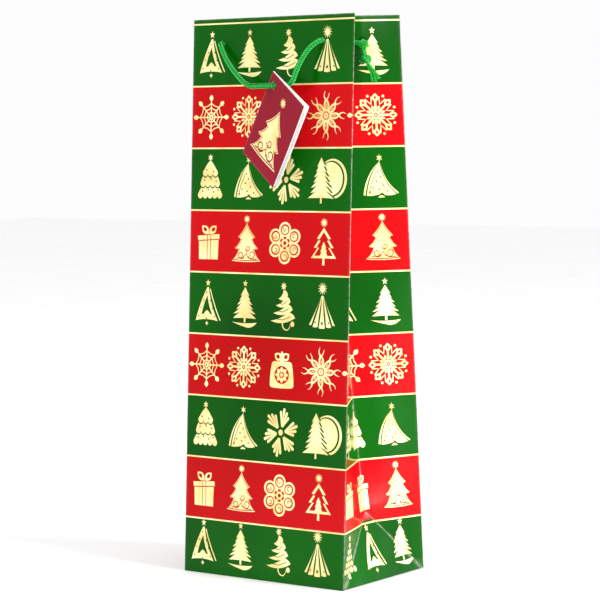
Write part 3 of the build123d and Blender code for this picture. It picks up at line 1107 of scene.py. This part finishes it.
def outline_tree():
    right = [(9, -8.6), (4.4, -2.6), (7, -2.6), (3.2, 2.6), (5, 2.6)]
    edge = [(-9, -8.6), *right, (0, 9), *((-x, y) for x, y in reversed(right[1:]))]
    inside = [(x * 0.74, (y - 1) * 0.78 + 0.3) for x, y in edge]
    small = [(x * 0.34, (y + 8) * 0.5 - 7.6) for x, y in edge]
    stem = [(-0.8, -12.6), (0.8, -12.6), (0.7, -8), (-0.7, -8)]
    tree = moved(laid(edge) + gap(inside) + laid(small, stem), 0, 0.4, 1.08)
    return tree + laid(star(0, 13.2, 3, 1.3, 12))


# The last motif of a row is for the gusset, round the corner.
ROWS = (
    (hollow_tree, fir, ribbon_tree, striped_cone, ball_tree),
    (web_flake, round_flake, pouch, wisp_flake, web_flake),
    (cloud_tree, dotted_cone, fan_flake, moon_fir, ball_tree),
    (gift_box, topped_tree, petal_flower, outline_tree, gift_box),
)

# ---------------------------------------------------------------- foil

FOIL_UNDER = 0.015 * MM
FOIL_THICK = 0.06 * MM
COLUMN = 30.4 * MM                 # from one motif to the next
FIRST_COLUMN = 15.5 * MM
FOIL_ROWS = even_steps(0, sheet_height, 8 * MM)[1:]
ROW_HEIGHTS = (1.14, 1.0, 1.14, 1.0)
LOWEST_MOTIF = 19.5 * MM
MOTIF_REACH = 16 * MM
rows_drawn = [[taller(make(), share) for make in row] for row, share in zip(ROWS, ROW_HEIGHTS)]


def turns_left(outline):
    sides = zip(outline, outline[1:] + outline[:1])
    return sum(ax * by - bx * ay for (ax, ay), (bx, by) in sides) > 0


def add_motif(form, items, u, v, scale=MM):
    """Lays a motif into a flat mesh at u, v. Every outline is made to run counter-clockwise."""
    verts, polygons = [], []
    for outline, _ in items:
        ring = [len(verts) + k for k in range(len(outline))]
        polygons.append(ring if turns_left(outline) else ring[::-1])
        verts += [Vector(p) for p in outline]
    found = delaunay_2d_cdt(verts, [], polygons, 1, 1e-4, True)
    points, faces, sources = found[0], found[2], found[5]
    made = {}
    for face, covers in zip(faces, sources):
        if not covers or not items[max(covers)][1]:
            continue
        corners = []
        for k in face:
            if k not in made:
                made[k] = form.verts.new((u + points[k].x * scale, v + points[k].y * scale, 0))
            corners.append(made[k])
        form.faces.new(corners)


def add_line(form, low_u, high_u, v):
    low_v, high_v = v - LINE_WIDTH / 2, v + LINE_WIDTH / 2
    corners = ((low_u, low_v), (high_u, low_v), (high_u, high_v), (low_u, high_v))
    form.faces.new([form.verts.new((a, b, 0)) for a, b in corners])


def cut_along(form, place, normal, drop=False):
    bmesh.ops.bisect_plane(
        form,
        geom=form.verts[:] + form.edges[:] + form.faces[:],
        dist=1e-7,
        plane_co=place,
        plane_no=normal,
        clear_outer=drop,
    )


def printed_foil(name, low_u, high_u, first_u, edges, place, columns, rows):
    """The gold print of one facet, cut into the same columns and rows as the paper under it.

    Columns of motifs are counted from the front's left edge.
    """
    form = bmesh.new()
    for height in line_heights:
        add_line(form, low_u, high_u, height)
    for band in range(BAND_COUNT):
        middle = max(line_heights[band] - BAND / 2, LOWEST_MOTIF)
        motifs = rows_drawn[band % len(rows_drawn)]
        for column, items in enumerate(motifs + motifs[:2]):
            u = FIRST_COLUMN + COLUMN * column - first_u
            if low_u - MOTIF_REACH < u < high_u + MOTIF_REACH:
                add_motif(form, items, u, middle)
    for place_on, normal in edges:
        cut_along(form, place_on, normal, True)
    for u in columns:
        cut_along(form, (u, 0, 0), (1, 0, 0))
    for v in rows:
        cut_along(form, (0, v, 0), (0, 1, 0))
    return raised(form, name, place)


def raised(form, name, place):
    """Gives a flat mesh its thickness, on the surface that place describes."""
    form.verts.ensure_lookup_table()
    form.verts.index_update()
    flat = [v.co.copy() for v in form.verts]
    verts = [place(p.x, p.y, FOIL_UNDER + FOIL_THICK) for p in flat]
    verts += [place(p.x, p.y, FOIL_UNDER) for p in flat]
    count = len(flat)
    faces = []
    for face in form.faces:
        ring = [v.index for v in face.verts]
        if face.normal.z < 0:
            ring.reverse()
        faces.append(tuple(ring))
        faces.append(tuple(count + k for k in reversed(ring)))
        for k, after in zip(face.verts, list(face.verts)[1:] + [face.verts[0]]):
            edge = form.edges.get((k, after))
            if len(edge.link_faces) == 1:
                a, b = (after.index, k.index) if face.normal.z > 0 else (k.index, after.index)
                faces.append((a, b, count + b, count + a))
    form.free()
    return new_object(name, mesh_of(name, verts, faces), [foil])


def wall_foil(name):
    edges = [
        ((0, 0, 0), (-1, 0, 0)),
        ((SHEET_WIDTH, 0, 0), (1, 0, 0)),
        ((0, sheet_height, 0), (0, 1, 0)),
    ]
    columns = even_steps(0.0, SHEET_WIDTH, 7 * MM)[1:]
    piece = printed_foil(name, 0.0, SHEET_WIDTH, 0.0, edges, wall_place, columns, FOIL_ROWS)
    return with_wall_holes(piece)


# Across the two bottom diagonals, each from its own lower corner.
diagonal = Vector((triangle_height, -gusset_width, 0)).normalized()
diagonals = (
    (Vector((0, 0, 0)), diagonal),
    (Vector((2 * gusset_width, 0, 0)), Vector((-diagonal.x, diagonal.y, 0))),
)
over_base = ((0, LOWEST, 0), (0, -1, 0))


def gusset_foil_half(name, rear):
    low, high = (gusset_width, 2 * gusset_width) if rear else (0.0, gusset_width)
    corner, slope = diagonals[rear]
    edges = [
        ((low + CREASE_MARGIN, 0, 0), (-1, 0, 0)),
        ((high - CREASE_MARGIN, 0, 0), (1, 0, 0)),
        over_base,
        (corner - slope * CREASE_MARGIN, slope),
    ]
    columns = on_half(GUSSET_COLUMNS, rear)[1:-1]
    return printed_foil(name, low, high, SHEET_WIDTH, edges, gusset_place, columns, GUSSET_ROWS[1:-1])


def triangle_foil(name):
    high = 2 * gusset_width
    edges = [(corner + slope * 4 * CREASE_MARGIN, -slope) for corner, slope in diagonals]
    edges.append(over_base)
    columns = even_steps(0.0, high, 6 * MM)[1:]
    return printed_foil(name, 0.0, high, SHEET_WIDTH, edges, gusset_place, columns, FOIL_ROWS)


def gild(piece, body):
    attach(piece, body)


gild(wall_foil("front_foil"), "front_wall")
gild(turned(wall_foil("back_foil")), "back_wall")
four_halves(gusset_foil_half, "foil", "gold_foil")
gild(triangle_foil("right_triangle_foil"), "base")
gild(turned(triangle_foil("left_triangle_foil")), "base")

# ---------------------------------------------------------------- cord ends

KNOT = 8.4 * MM
KNOT_GAP = 0.5 * MM
REAR_KNOT_OUT = 3 * MM
REAR_KNOT_DROP = 12 * MM
TAIL = 13 * MM
TAIL_OVERLAP = 1.5 * MM             # of the tail with its knot
TAIL_FIBRES = 42
FRONT_TAIL = Vector((1, 0.1, -0.25)).normalized()
REAR_TAIL = Vector((0.6, -0.1, -1)).normalized()
FIBRE_POINTS = 9
FIBRE_RADIUS = 0.17 * MM
FIBRE_SWAY = 0.25 * MM
KNOT_CORD = 1.3 * MM                # the braid's radius in a tightened knot
KNOT_POINTS = 96


def knot(name, centre, along):
    """A tight overhand knot, as a trefoil of the same braid."""
    turn = along.to_track_quat("Z", "Y")
    size = (KNOT / 2 - KNOT_CORD) / 3
    line = []
    for k in range(KNOT_POINTS + 1):
        t = 2 * pi * k / KNOT_POINTS
        place = Vector((sin(t) + 2 * sin(2 * t), cos(t) - 2 * cos(2 * t), -1.5 * sin(3 * t)))
        line.append(centre + turn @ (place * size))
    return braid(name, line, KNOT_CORD)


def frayed_tail(name, start, along, seed):
    """The loose yarns past a knot, combed out in a narrow brush."""
    dice = random.Random(seed)
    side = along.orthogonal().normalized()
    other = along.cross(side)
    verts, faces = [], []
    for k in range(TAIL_FIBRES):
        angle = dice.uniform(0, 2 * pi)
        reach = sqrt(dice.random())
        lean_out = (side * cos(angle) + other * sin(angle)) * reach
        length = TAIL * dice.uniform(0.72, 1.0)
        wave = dice.uniform(0, 2 * pi)
        centres = []
        for n in range(FIBRE_POINTS):
            t = n / (FIBRE_POINTS - 1)
            spread_out = lean_out * (1.1 + 2.2 * t * t) * MM
            sway = (side * sin(wave + 5 * t) + other * cos(wave + 4 * t)) * FIBRE_SWAY * t
            centres.append(start + along * length * t + spread_out + sway)
        add_tube(verts, faces, centres, [FIBRE_RADIUS] * FIBRE_POINTS, 5)
    return new_object(name, mesh_of(name, verts, faces), [yarn])


def cord_end(node, mirrored, rear, seed):
    """A stub through wall and gusset, a knot and a tail. Worked out on the right of the front."""
    wall_hole = wall_place(SHEET_WIDTH - HOLE_INSET, hole_v, -turn_in_depth - PAPER - MM)
    hole, _ = gusset_hole(HOLE_INSET)
    through = (hole - wall_hole).normalized()
    if rear:
        bend = hole + through * (CORD_RADIUS + 3 * KNOT_GAP)
        middle = bend + Vector((REAR_KNOT_OUT, 0, -REAR_KNOT_DROP))
        route = [right_pivot, wall_hole, bend, bend.lerp(middle, 0.4), middle]
    else:
        middle = hole + through * (KNOT / 2 + KNOT_GAP)
        route = [right_pivot, wall_hole, hole, middle]
    past = (middle - route[-2]).normalized()
    away = REAR_TAIL if rear else FRONT_TAIL
    line = smooth_line(route)
    pieces = [
        braid(node + "_stub", line, CORD_RADIUS, round_start=True),
        knot(node + "_knot", middle, past),
        frayed_tail(node + "_tail", middle + away * (KNOT / 2 - TAIL_OVERLAP), away, seed),
    ]
    for piece in pieces:
        if mirrored:
            piece.data.transform(Matrix.Scale(-1, 4, (1, 0, 0)))
            piece.data.flip_normals()
        if rear:
            turned(piece)
        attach(piece, "back_wall" if rear else "front_wall")
    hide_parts(node)


cord_end("front_cord_end_right", False, False, 3)
cord_end("front_cord_end_left", True, False, 5)
cord_end("back_cord_end_left", False, True, 7)
cord_end("back_cord_end_right", True, True, 9)

# ---------------------------------------------------------------- tag

TAG_WIDTH = 41 * MM
TAG_LENGTH = 60 * MM
TAG_CARD = 0.4 * MM
TAG_GAP = 0.15 * MM
TAG_FOLD = -5.5 * MM                # from the hole, across
TAG_TOP = 7 * MM                    # from the hole, up
TAG_OPENING = radians(3)
TAG_CURL = 0.5 * MM
TAG_WEAR = 0.6
TAG_STEP = 4 * MM
TAG_TREE_Y = -28 * MM
TAG_TREE_SCALE = 1.08 * MM
TAG_STAR_Y = -3.8 * MM
rise_x = TAG_WIDTH / 2 + TAG_FOLD
rise_y = TAG_LENGTH / 2 - TAG_TOP
tilt = atan2(rise_x, rise_y)
tag_x = tag_level * cos(tilt) - UP * sin(tilt)
tag_y = tag_out.cross(tag_x)


def back_leaf_place(x, y, out):
    return tag_hole + tag_x * x + tag_y * y + tag_out * (out - TAG_GAP / 2)


def front_leaf_place(x, y, out):
    """The front leaf stands a little open about the fold, and curls at its free edge."""
    reach = x - TAG_FOLD
    share = reach / TAG_WIDTH
    curled = TAG_CURL * share * share * (0.4 + 0.6 * abs(y + rise_y) / rise_y)
    away = out + TAG_GAP / 2 + TAG_CARD + curled
    place = tag_hole + tag_x * TAG_FOLD + tag_y * y
    across = tag_x * cos(TAG_OPENING) + tag_out * sin(TAG_OPENING)
    outward = tag_out * cos(TAG_OPENING) - tag_x * sin(TAG_OPENING)
    return place + across * reach + outward * away


def leaf(name, place, material_out, material_in):
    """One leaf of the card, printed on its outer face."""
    xs = crossing(TAG_FOLD, TAG_FOLD + TAG_WIDTH, TAG_STEP)
    ys = crossing(TAG_TOP - TAG_LENGTH, TAG_TOP, TAG_STEP)
    mesh = sheet_mesh(name, ys, lambda v: xs, place, TAG_CARD, 0, 1, False)
    looks = [0 if polygon.material_index == 0 else 1 for polygon in mesh.polygons]
    mesh.polygons.foreach_set("material_index", looks)
    wear = []
    for y in ys:
        for x in xs:
            edge = min(x - xs[0], xs[-1] - x, y - ys[0], ys[-1] - y)
            wear.append(TAG_WEAR * exp(-edge / WEAR_REACH))
    mesh.attributes["wear"].data.foreach_set("value", wear + wear)
    thing = new_object(name, mesh, (material_out, material_in))
    return drilled(thing, place(0, 0, 0), tag_out, CORD_DIAMETER + 2 * MM)


front_leaf = leaf("tag_front_card", front_leaf_place, tag_print, white_paper)
back_leaf = leaf("tag_back_card", back_leaf_place, white_paper, white_paper)
finish_piece(front_leaf, "tag_front_leaf", "tag_leaf")
finish_piece(back_leaf, "tag_back_leaf", "tag")


def tag_foil(name):
    form = bmesh.new()
    middle_x = TAG_FOLD + TAG_WIDTH / 2
    add_motif(form, swirl_tree(), middle_x, TAG_TREE_Y, TAG_TREE_SCALE)
    add_motif(form, laid(star(0, 0, 3.4, 1.6, 10)), middle_x, TAG_STAR_Y)
    for x in even_steps(TAG_FOLD, TAG_FOLD + TAG_WIDTH, TAG_STEP)[1:]:
        cut_along(form, (x, 0, 0), (1, 0, 0))
    for y in even_steps(TAG_TOP - TAG_LENGTH, TAG_TOP, TAG_STEP)[1:]:
        cut_along(form, (0, y, 0), (0, 1, 0))
    return raised(form, name, front_leaf_place)


gild(tag_foil("tag_foil"), "tag_leaf")

# ---------------------------------------------------------------- base

base_looks = {"base_" + side + "_flap": green_print for side in ("front", "rear", "right", "left")}
base_looks["base_board"] = white_paper
for node, material in base_looks.items():
    for place in frame["nodes"][node].material_slots:
        place.material = material

# ---------------------------------------------------------------- floor and light

FLOOR_REACH = 4.0
FLOOR_LOW = -0.2 * MM
LIT_PLACE = Vector((0, 0, 0.18))


def make_floor():
    mesh = bpy.data.meshes.new("floor")
    signs = ((-1, -1), (1, -1), (1, 1), (-1, 1))
    corners = [(x * FLOOR_REACH, y * FLOOR_REACH, FLOOR_LOW) for x, y in signs]
    mesh.from_pydata(corners, [], [(0, 1, 2, 3)])
    material, tree, surface = shader("floor", (0.95, 0.95, 0.95), 0.7)
    cloud = spread(tree, noise(tree, 14.0), 0.0, 1.0)
    tint = blended(tree, cloud, (0.96, 0.96, 0.96), (0.93, 0.93, 0.93))
    tree.links.new(tint, surface.inputs["Base Color"])
    new_object("floor", mesh, [material])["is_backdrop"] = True


def make_world():
    world = bpy.data.worlds.new("studio")
    world.use_nodes = True
    background = world.node_tree.nodes["Background"]
    background.inputs["Color"].default_value = (0.99, 0.99, 1.0, 1)
    background.inputs["Strength"].default_value = 0.99
    bpy.context.scene.world = world
    bpy.context.scene.view_settings.view_transform = "Standard"


def add_light(name, place, width, height, power):
    data = bpy.data.lights.new(name, "AREA")
    data.shape = "RECTANGLE"
    data.size = width
    data.size_y = height
    data.energy = power
    light = bpy.data.objects.new(name, data)
    light.location = place
    light.rotation_euler = (LIT_PLACE - Vector(place)).to_track_quat("-Z", "Y").to_euler()
    bpy.context.scene.collection.objects.link(light)


make_floor()
make_world()
add_light("key", (-0.4, -1.5, 1.6), 0.9, 0.8, 5)
add_light("side", (1.5, 0.1, 0.9), 0.7, 0.9, 32)
add_light("strip", (1.08, -1.87, 0.35), 0.1, 0.5, 6)
add_light("window_low", (1.15, 1.4, 0.1), 0.3, 0.35, 5)
add_light("window_high", (1.85, 0.5, 0.3), 0.3, 0.6, 6)

# ---------------------------------------------------------------- sizes

boxes = {"cad": CAD_BOX, "visual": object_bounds()}
{name: [list(corner) for corner in box] for name, box in boxes.items()}
